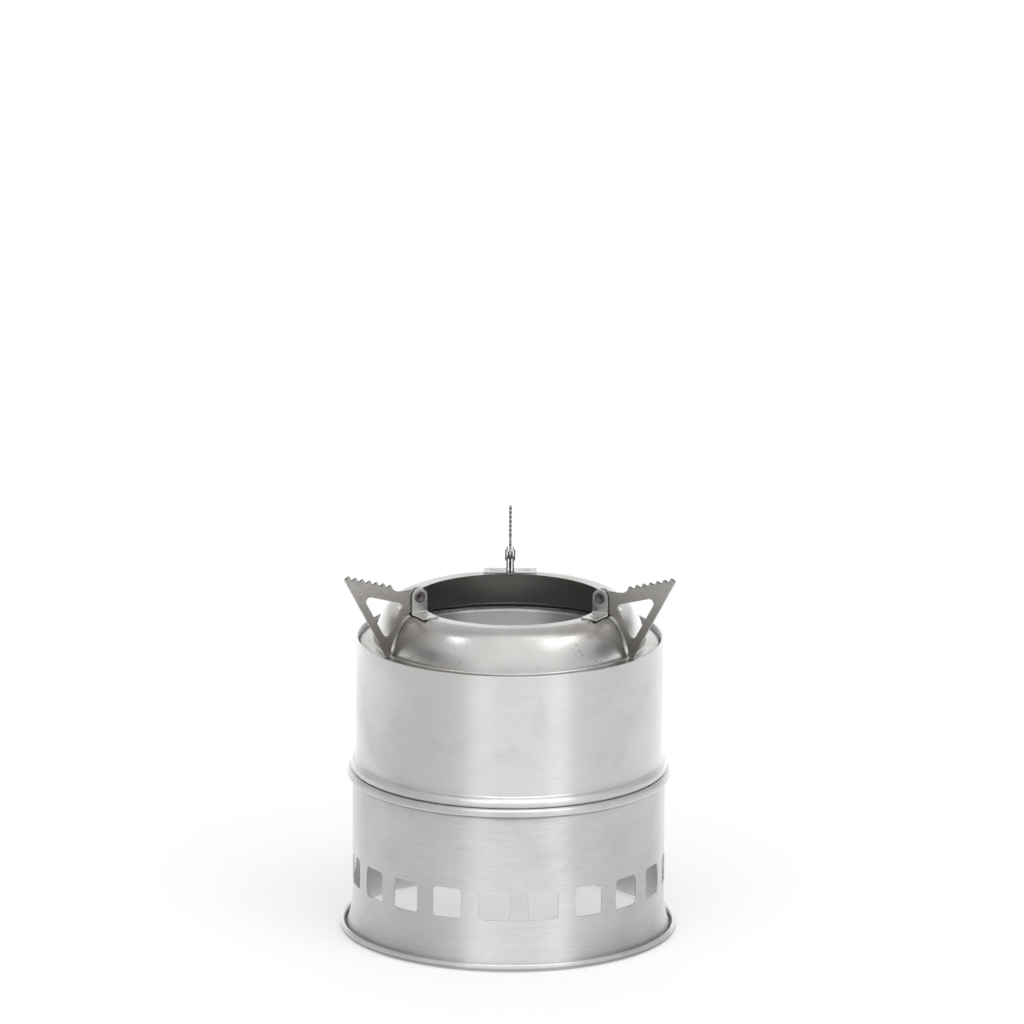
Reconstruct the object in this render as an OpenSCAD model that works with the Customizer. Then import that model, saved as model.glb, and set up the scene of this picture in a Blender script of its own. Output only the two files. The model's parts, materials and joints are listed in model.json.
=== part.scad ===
// Nesting twig stove of thin stainless sheet. From the ground up it is a vented base ring, a
// double-walled burning chamber, a pan that hangs in the chamber's mouth, and a domed pot ring
// with three serrated arms that fold inward on rivets.
// Millimetres, +Z up, origin on the stove's axis at the ground.

/* [Base ring] */
// Height of the base ring
base_h = 65; // [55:0.5:80]
// Sheet thickness of the base ring
base_t = 0.5; // [0.4:0.05:0.8]
// Radial play between the chamber's neck and the base ring
neck_fit = 0.5; // [0.3:0.05:1]
// Bend radius of the base ring's top curl, at mid sheet
base_curl_r = 1; // [0.8:0.05:1.5]
// Straight drop of the top curl's outer side
base_curl_drop = 0.9; // [0:0.1:2]
// Distance that the foot stands out from the wall
foot_w = 4.7; // [4.5:0.1:6]
// Height of the foot's rolled edge
foot_h = 3.1; // [2.8:0.1:5]
// Height of the flare above the foot's bend
flare_h = 13; // [9:0.5:16]
// Distance that the flare spreads
flare_w = 2.2; // [1.5:0.1:2.4]
// Number of draught vents
vent_count = 20; // [12:1:24]
// Width and height of a draught vent
vent_size = 12; // [8:0.5:14]
// Corner radius of a draught vent
vent_corner = 1.8; // [0.5:0.1:3]
// Height of the vents' centres
vent_z = 25.5; // [23:0.5:32]
// Turn of the first vent from the front
vent_turn = -5; // [-9:0.5:9]

/* [Burning chamber] */
// Outside diameter of the chamber's wall
chamber_d = 120; // [110:0.5:135]
// Height of the chamber
chamber_h = 66; // [60:0.5:80]
// Sheet thickness of the outer wall
wall_t = 0.5; // [0.4:0.05:0.8]
// Height of the neck that plugs into the base ring
neck_h = 10.6; // [8:0.1:11]
// Distance that the neck stands proud of the wall
neck_swell = 0.3; // [0:0.05:0.6]
// Depth of the groove above the neck
groove_d = 0.6; // [0.3:0.05:1]
// Height of the seating bead's centre
bead_z = 15; // [14.5:0.5:20]
// Bend radius of the seating bead, at mid sheet
bead_r = 1.95; // [1.6:0.05:2.2]
// Distance that the bead stands out from the wall
bead_out = 2.2; // [1.8:0.05:2.6]

/* [Inner wall] */
// Space between the outer and the inner wall
air_gap = 5; // [4.5:0.1:9]
// Sheet thickness of the inner wall
liner_t = 0.5; // [0.4:0.05:0.6]
// Depth of the shoulder below the chamber's edge
recess_h = 4; // [3:0.1:6]
// Slope of the shoulder
shoulder_slope = 35; // [25:1:45]
// Bend radius of the shoulder's outer roll, at mid sheet
roll_r = 0.8; // [0.6:0.05:1.2]
// Bend radius where the shoulder turns down, at mid sheet
throat_r = 2; // [1.5:0.1:2.5]
// Height of the flange that is welded to the outer wall
flange_h = 4; // [3:0.5:8]
// Number of air holes
air_count = 28; // [20:1:32]
// Width and height of an air hole
air_size = 6; // [4:0.5:7]
// Corner radius of an air hole
air_corner = 0.9; // [0.3:0.1:1.5]
// Depth of the air holes' centres below the chamber's edge
air_depth = 13; // [12:0.5:20]
// Height of the grate's lip above the chamber's lower edge
lip_z = 3; // [2:0.5:6]
// Width of the lip that carries the grate
lip_w = 5; // [3.5:0.5:7]
// Bend radius of the lip, at mid sheet
lip_r = 1.5; // [1:0.1:2]

/* [Fire grate] */
// Thickness of the grate
grate_t = 0.8; // [0.6:0.1:1.5]
// Radial play of the grate inside the bend of the lip
grate_fit = 0.3; // [0.2:0.05:1]
// Diameter of a grate hole
grate_hole = 6; // [4:0.5:7]
// Distance between the rings of grate holes
grate_pitch = 10; // [9:0.5:12]

/* [Pan] */
// Height of the pan
pan_h = 44.5; // [30:0.5:50]
// Sheet thickness of the pan
pan_t = 0.4; // [0.3:0.05:0.6]
// Radial play between the pan and the inner wall
pan_fit = 0.5; // [0.3:0.05:1]
// Bend radius of the pan's rim, at mid sheet
pan_curl_r = 1.05; // [0.8:0.05:1.1]
// Bend radius of the pan's lower corner, at mid sheet
pan_corner = 2.3; // [1.5:0.1:5]

/* [Pot ring] */
// Height of the pot ring
ring_h = 18.6; // [16:0.2:24]
// Sheet thickness of the pot ring
ring_t = 0.6; // [0.5:0.05:0.8]
// Radial play between the pot ring and the chamber
ring_fit = 0.7; // [0.5:0.05:1.2]
// Width of the flat around the fire opening
flat_w = 4; // [3:0.1:5]
// Bend radius of the dome's shoulder, at mid sheet
dome_r = 7.5; // [6:0.1:9]
// Slope where the dome's shoulder ends
dome_slope = 58; // [52:1:64]
// Slope at the dome's foot
dome_foot_slope = 80; // [76:1:84]
// Bend radius between the dome and its flange, at mid sheet
dome_fillet = 1.2; // [0.8:0.1:2]
// Width of the flange that the arms' tips stand on
flange_w = 2.95; // [2.5:0.05:6]
// Bend radius of the pot ring's hem, at mid sheet
hem_r = 0.8; // [0.7:0.05:1]
// Step down from the flange to the hem
hem_step = 0.4; // [0.2:0.05:0.6]

/* [Brackets and rivets] */
// Thickness of a bracket
ear_t = 0.6; // [0.5:0.05:0.9]
// Width of a bracket
ear_w = 6.8; // [6:0.1:8]
// Distance of the brackets from the fire opening's edge
ear_inset = 0; // [0:0.1:0.8]
// Length of a bracket's foot
ear_foot = 9.5; // [7:0.5:12]
// Bend radius of a bracket, at mid sheet
ear_bend = 0.8; // [0.6:0.05:1.2]
// Height of the pivots above the pot ring's flat
pivot_h = 6.8; // [6:0.1:9]
// Diameter of a rivet's shank
rivet_d = 3; // [2.5:0.1:3.4]
// Diameter of a rivet's heads
rivet_head_d = 4.6; // [4.2:0.1:5.5]
// Height of a rivet's heads
rivet_head_h = 0.5; // [0.4:0.05:0.8]
// Depth of the cup in a rivet's heads
rivet_cup = 0.3; // [0.1:0.05:0.35]
// Diameter of the weld mark on a bracket's foot
weld_d = 2.2; // [1.5:0.1:3]

/* [Arms] */
// Thickness of an arm
arm_t = 1; // [0.8:0.05:1.5]
// Play between an arm and each of its brackets
arm_play = 0.4; // [0.2:0.05:0.6]
// Radius of an arm's round end
arm_end_r = 3.2; // [2.8:0.1:3.6]
// Gap between an arm's inner edge and the dome
arm_gap = 0.9; // [0.5:0.05:1.5]
// Number of teeth on an arm
tooth_count = 7; // [4:1:8]
// Distance between the teeth
tooth_pitch = 3.24; // [3:0.02:3.6]
// Depth of the valleys between the teeth, before their bottoms are rounded
tooth_d = 1.7; // [1.4:0.05:2]
// Radius at the bottom of the valleys
tooth_round = 0.9; // [0.4:0.05:1]
// Radius of the teeth's points
tooth_point = 0.2; // [0.1:0.05:0.4]
// Slope of the row of teeth
tooth_slope = 17.3; // [12:0.1:20]
// Distance of the first tooth from the pivot
tooth_from = 12.3; // [11:0.1:14]
// Height of the first tooth above the pivot
tooth_z = 6.3; // [5.5:0.1:8]
// Height of an arm's neck above the pivot
neck_top = 2.8; // [2.4:0.1:3.4]
// Length of the bevel outside the last tooth
bevel_w = 2.5; // [1.5:0.1:3.5]
// Width of an arm's lower tip
tip_w = 1.6; // [1:0.1:2.5]
// Width of the bar below the teeth
bar_top = 6.4; // [5.8:0.1:8]
// Width of the outer bar
bar_out = 3.2; // [2.4:0.1:4]
// Width of the inner bar, from the chord of its edge
bar_in = 4.2; // [3.4:0.1:5]
// Corner radius of the cut-out
cut_corner = 1.7; // [1:0.1:2]

/* [Hidden] */
$fn = 96;

// Gaps between pieces that rest on each other, are welded together or turn on each other
seat_gap = 0.25;
weld_gap = 0.03;
shank_gap = 0.02;
pivot_gap = 0.06;
// Gap that a curl's free edge leaves to its own wall
curl_gap = 0.15;
// Length by which a cut runs past a surface
past = 1;
// Distance below which two points of a line are one
same = 0.01;

// Direction of each arm from the axis
rear = 90;
left = 210;
right = 330;
front = -90;

// Base ring, from the neck that plugs into it
neck_r = chamber_d / 2 + neck_swell;
base_in_r = neck_r + neck_fit;
base_mid = base_in_r + base_t / 2;
base_curl = [base_mid + base_curl_r, base_h - base_curl_r - base_t / 2];
foot_mid = base_in_r + base_t + foot_w - base_t / 2;
foot_bend = 0.8;
foot_turn = 0.5;
foot_edge_z = 1.3;
flare_lean = 2 * atan(flare_w / flare_h);
flare_r = flare_h / sin(flare_lean);
flare_top = foot_bend * (1 - sin(flare_lean)) + base_t / 2 + flare_h;
foot_in = [base_mid + flare_w + foot_bend * cos(flare_lean), foot_bend + base_t / 2];

// Chamber, with its bead on the base ring's curl
wall_mid = (chamber_d - wall_t) / 2;
wall_in = chamber_d / 2 - wall_t;
bead = [wall_mid + bead_out - bead_r, bead_z];
bead_turn = 80;
bead_run = 0.5;
groove_run = 0.8;
groove_rise = 0.6;
bead_reach = bead_r + wall_t / 2 + base_curl_r + base_t / 2 + seat_gap;
chamber_z = base_curl[1] - bead_z + rise(bead_reach, bead[0] - base_curl[0]);

// Inner wall, in the chamber's own height
liner_in = wall_in - air_gap - liner_t;
liner_mid = liner_in + liner_t / 2;
roll = [wall_in - weld_gap - liner_t / 2 - roll_r, chamber_h - recess_h - liner_t / 2 - roll_r];
turn = 90 + shoulder_slope;
roll_end = roll + roll_r * heading(turn);
throat_x = liner_mid + throat_r;
throat_start = throat_x + throat_r * cos(turn);
throat_z = roll_end[1] - (roll_end[0] - throat_start) * tan(shoulder_slope) - throat_r * sin(turn);
throat = [throat_x, throat_z];
lip_mid = lip_z + liner_t / 2;
grate_z = chamber_z + lip_z + liner_t;
grate_r = liner_in - lip_r + liner_t / 2 - grate_fit;
grate_rings = floor((grate_r - lip_w - grate_hole / 2) / grate_pitch);

// Pan, with its rim on the shoulder
pan_mid = liner_in - pan_fit - pan_t / 2;
pan_curl_x = pan_mid + pan_curl_r;
pan_reach = pan_curl_r + pan_t / 2 + liner_t / 2 + seat_gap;
pan_rest = (pan_reach - (pan_curl_x - roll_end[0]) * cos(turn)) / sin(turn);
pan_curl_z = roll_end[1] + pan_rest;
pan_z = chamber_z + pan_curl_z + pan_curl_r + pan_t / 2 - pan_h;

// Pot ring, with its hem on the shoulder's roll
hem_x = wall_in - ring_fit - ring_t / 2 - hem_r;
hem_reach = hem_r + ring_t / 2 + roll_r + liner_t / 2 + seat_gap;
hem_centre = hem_r + ring_t / 2;
ring_z = chamber_z + roll[1] + rise(hem_reach, hem_x - roll[0]) - hem_centre;
top_mid = ring_h - ring_t / 2;
shelf_z = hem_centre + hem_r + hem_step;
hem_ramp = 2 * hem_step;
dome_a_drop = dome_r * (1 - cos(dome_slope));
fillet_drop = dome_fillet * (1 - cos(dome_foot_slope));
dome_b_drop = top_mid - dome_a_drop - shelf_z - fillet_drop;
dome_b_r = dome_b_drop / (cos(dome_slope) - cos(dome_foot_slope));
fillet = [hem_x - hem_ramp - flange_w, shelf_z + dome_fillet];
dome_b_end = fillet - dome_fillet * heading(90 - dome_foot_slope);
dome_b = dome_b_end - dome_b_r * heading(90 - dome_foot_slope);
dome_a_end = dome_b + dome_b_r * heading(90 - dome_slope);
dome_a = dome_a_end - dome_r * heading(90 - dome_slope);
open_r = dome_a[0] - flat_w;

// Brackets and arms
pivot_r = open_r + ear_inset + ear_w / 2;
pivot_z = ring_z + ring_h + pivot_h;
clevis_half = arm_t / 2 + arm_play;
ear_top_r = ear_w / 2;
weld_shift = 1;
weld_at = clevis_half + ear_foot / 2 + weld_shift;
weld_depth = 0.15;
rivet_half = clevis_half + ear_t;
rivet_bevel = 0.3;
cup_wall = 0.5;
tooth_dir = heading(tooth_slope);
first_tooth = [tooth_from, tooth_z];
last_tooth = first_tooth + (tooth_count - 1) * tooth_pitch * tooth_dir;
arm_corner = last_tooth + bevel_w * heading(-30);
arm_foot_z = shelf_z + ring_t / 2 + seat_gap - ring_h - pivot_h;
riser_in = 0.8;
riser_drop = 1.9;
riser_w = 2.4;
riser_base = 0.4;
riser_r = 2;
neck_bend = 12;
neck_foot = 1;
edge_start = 0.3;
edge_end = 1;
lead_in = 0.6;
lead_up = 0.5;
tip_round = 0.3;
bevel_round = 0.7;

function heading(a) = [cos(a), sin(a)];
function unit(v) = v / norm(v);
function left_of(v) = [-v[1], v[0]];
function rise(reach, across) = sqrt(reach * reach - across * across);

// Points along an arc from one direction to another
function arc(centre, r, a0, a1, n = 6) =
  [for (i = [0:n]) centre + r * heading(a0 + (a1 - a0) * i / n)];

// One line from several stretches, without the points that repeat where they meet
function joined(parts) =
  let (p = [for (part = parts) each part])
  [for (i = [0:len(p) - 1]) if (i == 0 || norm(p[i] - p[max(i - 1, 0)]) > same) p[i]];

// Mitred step to the left of a line at one of its points
function side_step(p, i) =
  let (
    before = unit(i > 0 ? p[i] - p[i - 1] : p[1] - p[0]),
    after = unit(i < len(p) - 1 ? p[i + 1] - p[i] : p[i] - p[i - 1]),
    middle = left_of(unit(before + after))
  )
  middle / (middle * left_of(after));

// A line moved to its left
function beside(p, d) = [for (i = [0:len(p) - 1]) p[i] + d * side_step(p, i)];

// Outline of a bent sheet around its middle line
function sheet(p, t) =
  let (outer = beside(p, t / 2), inner = beside(p, -t / 2))
  concat(outer, [for (i = [len(p) - 1:-1:0]) inner[i]]);

// Direction at which a curl's free edge comes close to its own wall
function tucked(r, t) = -acos(min((t + curl_gap) / r - 1, 0.99));

// Where two lines meet, each given by a point and a direction
function meet(p, d, q, e) = p + d * ((q - p) * left_of(e)) / (d * left_of(e));

// Arc of radius r that rounds the corner at q on the way from p to s
function corner_arc(p, q, s, r, n) =
  let (
    a = unit(p - q),
    b = unit(s - q),
    half = acos(a * b) / 2,
    centre = q + unit(a + b) * r / sin(half),
    mid = atan2(-(a + b)[1], -(a + b)[0]),
    swing = (90 - half) * sign(a * left_of(b))
  )
  arc(centre, r, mid - swing, mid + swing, n);

// Outline through corners that each have a point and a radius; a radius of 0 keeps one sharp
function softened(corners, n = 4) =
  let (last = len(corners) - 1)
  [for (i = [0:last])
    let (before = corners[i == 0 ? last : i - 1][0], after = corners[i == last ? 0 : i + 1][0])
    each corners[i][1] == 0 ? [corners[i][0]] : corner_arc(before, corners[i][0], after, corners[i][1], n)];

// Outline with all its corners rounded by one radius
function rounded(p, r) = softened([for (q = p) [q, r]]);

function square_points(size) =
  [[-size, -size] / 2, [size, -size] / 2, [size, size] / 2, [-size, size] / 2];

// Middle lines of the sheets, as radius and height
function base_line() = joined([
  [[foot_mid - 2 * foot_turn, foot_edge_z]],
  arc([foot_mid - foot_turn, foot_h - foot_turn - base_t / 2], foot_turn, 180, 0),
  arc([foot_mid - foot_bend, foot_bend + base_t / 2], foot_bend, 0, -90),
  arc(foot_in, foot_bend, -90, flare_lean - 180, 4),
  arc([base_mid + flare_r, flare_top], flare_r, 180 + flare_lean, 180),
  arc(base_curl, base_curl_r, 180, 0, 8),
  arc(base_curl - [0, base_curl_drop], base_curl_r, 0, tucked(base_curl_r, base_t))
]);

function wall_line() = joined([
  [[neck_r - wall_t / 2, 0], [neck_r - wall_t / 2, neck_h]],
  [[wall_mid - groove_d, neck_h + groove_run], [wall_mid - groove_d, bead_z - bead_r - groove_rise]],
  arc(bead, bead_r, -bead_turn, bead_turn, 10),
  [[wall_mid, bead_z + bead_r + bead_run], [wall_mid, chamber_h]]
]);

function liner_line() = joined([
  [[roll[0] + roll_r, roll[1] - flange_h]],
  arc(roll, roll_r, 0, turn),
  arc(throat, throat_r, turn, 180),
  arc([liner_mid - lip_r, lip_mid + lip_r], lip_r, 0, -90),
  [[liner_mid - lip_w, lip_mid]]
]);

function pan_line() = joined([
  [[0, pan_t / 2]],
  arc([pan_mid - pan_corner, pan_t / 2 + pan_corner], pan_corner, -90, 0),
  arc([pan_curl_x, pan_h - pan_t / 2 - pan_curl_r], pan_curl_r, 180, 0, 8),
  arc([pan_curl_x, pan_h - pan_t / 2 - pan_curl_r], pan_curl_r, 0, tucked(pan_curl_r, pan_t))
]);

function dome_line() = joined([
  [[open_r, top_mid]],
  arc(dome_a, dome_r, 90, 90 - dome_slope, 10),
  arc(dome_b, dome_b_r, 90 - dome_slope, 90 - dome_foot_slope, 8),
  arc(fillet, dome_fillet, 270 - dome_foot_slope, 270, 4)
]);

function ring_line() = joined([
  dome_line(),
  [[hem_x - hem_ramp, shelf_z]],
  arc([hem_x, hem_centre], hem_r, 90, -180, 14)
]);

// A sheet spun around the stove's axis
module spun(line, t, z = 0) {
  translate([0, 0, z])
    rotate_extrude()
      polygon(sheet(line, t));
}

// A row of rounded square holes around the axis
module hole_row(count, size, corner, r, z, from) {
  for (i = [0:count - 1])
    rotate([0, 0, from + i * 360 / count])
      translate([r - past, 0, z])
        rotate([90, 0, 90])
          linear_extrude(2 * past)
            polygon(rounded(square_points(size), corner));
}

module base_shell() {
  color("silver")
    difference() {
      spun(base_line(), base_t);
      hole_row(vent_count, vent_size, vent_corner, base_mid, vent_z, front + vent_turn);
    }
}

module outer_wall() {
  color("silver")
    spun(wall_line(), wall_t, chamber_z);
}

module inner_wall() {
  color("darkgray")
    difference() {
      spun(liner_line(), liner_t, chamber_z);
      hole_row(air_count, air_size, air_corner, liner_mid, chamber_z + chamber_h - air_depth, rear);
    }
}

module fire_grate() {
  color("gray")
    translate([0, 0, grate_z])
      difference() {
        cylinder(r = grate_r, h = grate_t);
        for (ring = [0:grate_rings])
          for (i = [0:max(6 * ring - 1, 0)])
            rotate([0, 0, i * 60 / max(ring, 1)])
              translate([ring * grate_pitch, 0, -past])
                cylinder(d = grate_hole, h = grate_t + 2 * past, $fn = 32);
      }
}

module pan() {
  color("lightgray")
    spun(pan_line(), pan_t, pan_z);
}

module pot_ring() {
  color("gainsboro")
    spun(ring_line(), ring_t, ring_z);
}

// Places a piece at an arm's pivot, with X outward along the arm
module at_pivot(direction) {
  rotate([0, 0, direction])
    translate([pivot_r, 0, pivot_z])
      children();
}

// Bracket bent from a strip, with its foot to the left (1) or right (-1) of the arm
module bracket(direction, hand) {
  upright = clevis_half + ear_t / 2;
  foot_mid_z = ear_t / 2 - pivot_h;
  bend = [upright + ear_bend, foot_mid_z + ear_bend];
  line = joined([
    [[upright, ear_top_r]],
    arc(bend, ear_bend, 180, 270),
    [[clevis_half + ear_foot, foot_mid_z]]
  ]);
  color("lightgray")
    at_pivot(direction)
      mirror([0, hand < 0 ? 1 : 0, 0])
        difference() {
          intersection() {
            rotate([90, 0, -90])
              translate([0, 0, -ear_w / 2])
                linear_extrude(ear_w)
                  polygon([for (p = sheet(line, ear_t)) [-p[0], p[1]]]);
            rotate([90, 0, 0])
              translate([0, 0, -clevis_half - ear_foot - past])
                linear_extrude(clevis_half + ear_foot + 2 * past)
                  union() {
                    circle(r = ear_top_r);
                    translate([-ear_w / 2, -pivot_h])
                      square([ear_w, pivot_h]);
                  }
          }
          rotate([90, 0, 0])
            cylinder(d = rivet_d + 2 * shank_gap, h = 4 * rivet_half, center = true);
          translate([0, weld_at, ear_t - pivot_h - weld_depth])
            cylinder(d = weld_d, h = past, $fn = 32);
        }
}

// Rivet with a cupped head at both ends
module rivet(direction) {
  head_end = rivet_half + rivet_head_h;
  half_side = [
    [rivet_d / 2, rivet_half],
    [rivet_head_d / 2, rivet_half],
    [rivet_head_d / 2, head_end - rivet_bevel],
    [rivet_head_d / 2 - rivet_bevel, head_end],
    [rivet_d / 2, head_end],
    [rivet_d / 2 - cup_wall, head_end - rivet_cup],
    [0, head_end - rivet_cup]
  ];
  color("dimgray")
    at_pivot(direction)
      rotate([90, 0, 0])
        rotate_extrude()
          polygon(concat(
            half_side,
            [for (i = [len(half_side) - 1:-1:0]) [half_side[i][0], -half_side[i][1]]]
          ));
}

// Inner edge of an arm, which follows the dome from the bracket down to the flange
function arm_edge() =
  [for (p = beside(dome_line(), ring_t / 2 + arm_gap))
    let (q = [p[0] - pivot_r, p[1] - ring_h - pivot_h])
    if (q[0] > ear_w / 2 + edge_start && q[1] > arm_foot_z + edge_end) q];

// Corners of the teeth, from the outermost to the first
function teeth() =
  let (valley = -tooth_pitch / 2 * tooth_dir - tooth_d * left_of(tooth_dir))
  [for (i = [tooth_count - 1:-1:0])
    let (peak = first_tooth + i * tooth_pitch * tooth_dir)
    each concat([[peak, tooth_point]], i > 0 ? [[peak + valley, tooth_round]] : [])];

// Triangle between the three bars of an arm
function arm_cut(edge_top, inner_tip, outer_tip) =
  let (
    out_dir = unit(arm_corner - outer_tip),
    in_dir = unit(inner_tip - edge_top),
    top_at = first_tooth - bar_top * left_of(tooth_dir),
    out_at = outer_tip + bar_out * left_of(out_dir),
    in_at = inner_tip + bar_in * left_of(in_dir)
  )
  [
    meet(in_at, in_dir, top_at, tooth_dir),
    meet(in_at, in_dir, out_at, out_dir),
    meet(out_at, out_dir, top_at, tooth_dir)
  ];

module arm(direction) {
  edge = arm_edge();
  inner_tip = [edge[len(edge) - 1][0] + tip_round, arm_foot_z];
  outer_tip = inner_tip + [tip_w, 0];
  corners = concat(
    [[[0, neck_foot - arm_end_r], 0], [edge[0] + [-lead_in, lead_up], 0]],
    [for (p = edge) [p, 0]],
    [[inner_tip, 0], [outer_tip, tip_round], [arm_corner, bevel_round]],
    teeth(),
    [
      [first_tooth - [riser_in, riser_drop], riser_r],
      [[tooth_from - riser_w, neck_top + riser_base], riser_r],
      [[tooth_from / 2, neck_top], neck_bend],
      [[0, neck_top], 0]
    ]
  );
  color("gray")
    at_pivot(direction)
      rotate([90, 0, 0])
        linear_extrude(arm_t, center = true)
          difference() {
            union() {
              circle(r = arm_end_r);
              polygon(softened(corners));
            }
            circle(d = rivet_d + 2 * pivot_gap);
            polygon(rounded(arm_cut(edge[0], inner_tip, outer_tip), cut_corner));
          }
}

base_shell();
outer_wall();
inner_wall();
fire_grate();
pan();
pot_ring();
bracket(rear, 1);  // bracket_rear_left
bracket(rear, -1);  // bracket_rear_right
bracket(left, -1);  // bracket_left_rear
bracket(left, 1);  // bracket_left_front
bracket(right, -1);  // bracket_right_front
bracket(right, 1);  // bracket_right_rear
rivet(rear);  // rivet_rear
rivet(left);  // rivet_left
rivet(right);  // rivet_right
arm(rear);  // arm_rear
arm(left);  // arm_left
arm(right);  // arm_right
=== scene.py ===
"""Looks of the twig stove: spun sheets of brushed steel, a polished pot ring and three serrated arms.

Lengths are in millimetres in the stove's own frame until a mesh is made; MM turns them into metres.
"""

import json
import math

import bmesh
import bpy
from mathutils import Matrix, Vector


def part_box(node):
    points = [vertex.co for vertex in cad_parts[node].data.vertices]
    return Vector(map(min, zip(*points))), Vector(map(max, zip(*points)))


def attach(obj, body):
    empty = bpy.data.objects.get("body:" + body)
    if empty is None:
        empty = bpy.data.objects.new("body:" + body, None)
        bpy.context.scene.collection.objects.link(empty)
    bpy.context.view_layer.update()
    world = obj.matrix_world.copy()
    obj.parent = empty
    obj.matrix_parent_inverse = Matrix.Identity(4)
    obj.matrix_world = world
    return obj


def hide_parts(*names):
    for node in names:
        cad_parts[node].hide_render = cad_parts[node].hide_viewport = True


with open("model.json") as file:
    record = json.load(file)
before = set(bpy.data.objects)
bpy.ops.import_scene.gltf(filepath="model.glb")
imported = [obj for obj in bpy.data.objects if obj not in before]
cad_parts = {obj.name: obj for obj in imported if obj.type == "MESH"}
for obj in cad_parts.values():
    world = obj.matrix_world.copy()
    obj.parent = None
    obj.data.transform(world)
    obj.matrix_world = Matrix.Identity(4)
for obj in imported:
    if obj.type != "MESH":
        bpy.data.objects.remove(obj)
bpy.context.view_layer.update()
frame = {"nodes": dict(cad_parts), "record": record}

MM = 0.001


# Camera, at the photograph's angle, and far off, because the photograph has no single near viewpoint

VIEW_ELEVATION = 15.0
VIEW_DISTANCE = 6000.0
VIEW_WIDTH = 400.0
VIEW_CENTRE = Vector((0.6, 0, 168.0))
VIEW_ROLL = 0.35
SENSOR = 36.0


def make_camera():
    tilt = math.radians(VIEW_ELEVATION)
    back = Vector((0, -math.cos(tilt), math.sin(tilt)))
    data = bpy.data.cameras.new("camera")
    data.sensor_width = SENSOR
    data.lens = SENSOR * VIEW_DISTANCE / VIEW_WIDTH
    data.clip_end = 100
    camera = bpy.data.objects.new("camera", data)
    camera.location = (VIEW_CENTRE + back * VIEW_DISTANCE) * MM
    aim = (-back).to_track_quat("-Z", "Y")
    roll = Matrix.Rotation(math.radians(VIEW_ROLL), 3, "Z")
    camera.rotation_euler = (aim.to_matrix() @ roll).to_euler()
    bpy.context.scene.collection.objects.link(camera)
    bpy.context.scene.camera = camera


# Lines of a sheet's section, as (radius, height) in millimetres


def heading(angle):
    a = math.radians(angle)
    return Vector((math.cos(a), math.sin(a)))


def arc(centre, radius, start, end, steps=14):
    return [Vector(centre) + radius * heading(start + (end - start) * i / steps) for i in range(steps + 1)]


def joined(*stretches):
    """One line from several stretches, without the points that repeat where they meet."""
    line = []
    for stretch in stretches:
        for point in map(Vector, stretch):
            if not line or (point - line[-1]).length > 0.01:
                line.append(point)
    return line


def left_of(v):
    return Vector((-v.y, v.x))


def beside(line, distance):
    """The line moved to its left, with mitred corners."""
    moved = []
    for i, point in enumerate(line):
        before = (point - line[i - 1] if i else line[1] - point).normalized()
        after = (line[i + 1] - point if i < len(line) - 1 else point - line[i - 1]).normalized()
        middle = left_of((before + after).normalized())
        moved.append(point + distance * middle / middle.dot(left_of(after)))
    return moved


def sheet_outline(line, thickness, edge=0.12):
    """Closed outline of a bent sheet around its middle line, with its cut edges broken."""
    cut = edge * thickness
    lead_cut = cut if line[0].x > 0 else 0
    lead = (line[1] - line[0]).normalized() * lead_cut
    tail = (line[-2] - line[-1]).normalized() * cut
    body = [line[0] + lead] + line[1:-1] + [line[-1] + tail]
    outer = beside(body, thickness / 2)
    inner = beside(body, -thickness / 2)
    first = left_of((line[1] - line[0]).normalized()) * (thickness / 2 - lead_cut)
    last = left_of((line[-1] - line[-2]).normalized()) * (thickness / 2 - cut)
    return [line[0] + first] + outer + [line[-1] + last, line[-1] - last] + inner[::-1] + [line[0] - first]


def tucked(radius, thickness, gap=0.15):
    """Direction at which a curl's free edge comes close to its own wall."""
    return -math.degrees(math.acos(min((thickness + gap) / radius - 1, 0.99)))


# Sizes of the stove, in millimetres

CHAMBER_R = 60.0
WALL_T = 0.5
AIR_GAP = 5.0
NECK_H = 10.6
GROOVE_D = 0.6
BEAD_Z = 15.0
BEAD_R = 1.95
BEAD_OUT = 2.2
BEAD_FILLET = 1.0
SHOULDER_SLOPE = 35
ROLL_R = 0.8
THROAT_R = 2.0
FLANGE_H = 4.0
LIP_Z = 3.0
LIP_W = 5.0
LIP_R = 1.5
RECESS_H = 4.0
AIR_COUNT = 28
AIR_SIZE = 6.0
AIR_CORNER = 0.9
AIR_DEPTH = 13.0
NECK_R = CHAMBER_R + 0.3
BASE_T = 0.5
BASE_MID = NECK_R + 0.5 + BASE_T / 2
BASE_CURL_R = 1.0
BASE_CURL_DROP = 0.9
FOOT_W = 4.7
FOOT_H = 3.1
FOOT_BEND = 0.8
FOOT_TURN = 0.5
FOOT_EDGE_Z = 1.3
FLARE_H = 13.0
FLARE_W = 2.2
VENT_COUNT = 20
VENT_SIZE = 12.0
VENT_CORNER = 1.8
VENT_Z = 25.5
VENT_TURN = -5
CELL_H = 17.0
AIR_CELL_H = 9.0
PAN_T = 0.4
PAN_CURL_R = 1.05
PAN_CORNER = 2.3
RING_T = 0.6
FLAT_W = 4.0
DOME_R = 7.5
DOME_SLOPE = 58
DOME_FOOT_SLOPE = 80
DOME_FILLET = 1.2
FLANGE_W = 2.95
HEM_R = 0.8
HEM_STEP = 0.4

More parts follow.
